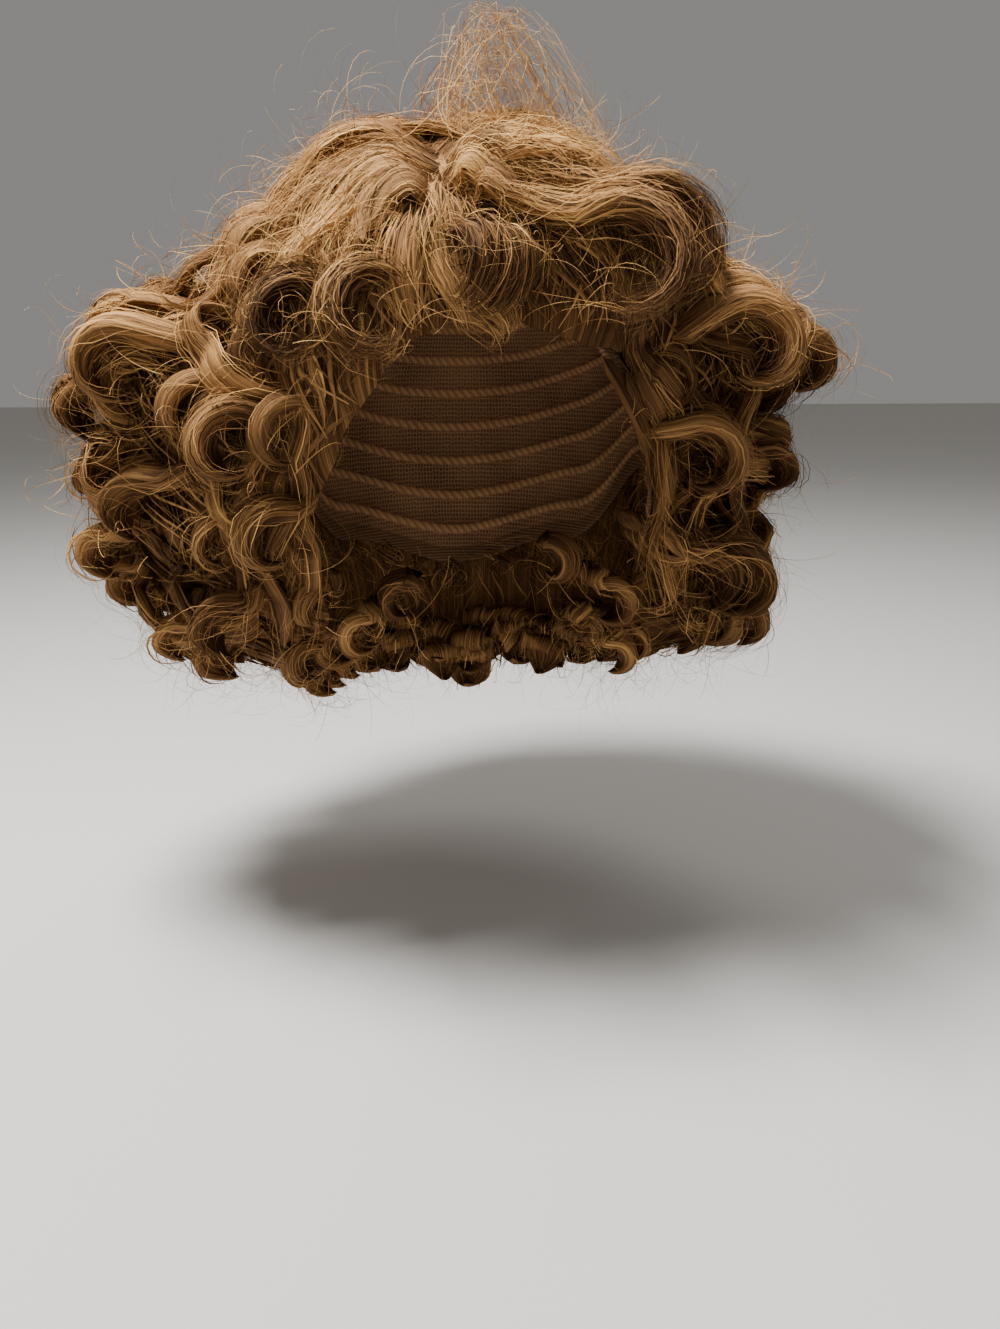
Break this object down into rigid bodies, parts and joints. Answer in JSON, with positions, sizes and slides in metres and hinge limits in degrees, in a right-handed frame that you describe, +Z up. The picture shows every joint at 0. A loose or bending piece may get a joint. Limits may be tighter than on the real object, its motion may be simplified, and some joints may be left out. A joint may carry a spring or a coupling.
{
  "type": "curly wig",
  "caption": "Short full wig with a swept fringe roll and barrel curls all round, on a thin fitted cap that is open below and over the face.",
  "frame": {"origin": "inside of the cap at the crown, where the head bears", "axes": "+Z up, the face opening looks along -Y, and +X is the right of a viewer who faces it"},
  "size_m": [0.3324, 0.2872, 0.2619],
  "materials": {
    "cap_net": "fine woven net, matt",
    "hair": "ginger brown fibre hair, soft sheen"
  },
  "bodies": {
    "root": {"cap": "cap_net", "fringe_hair": "hair", "crown_hair": "hair", "left_side_hair": "hair", "right_side_hair": "hair", "back_hair": "hair"}
  },
  "joints": []
}
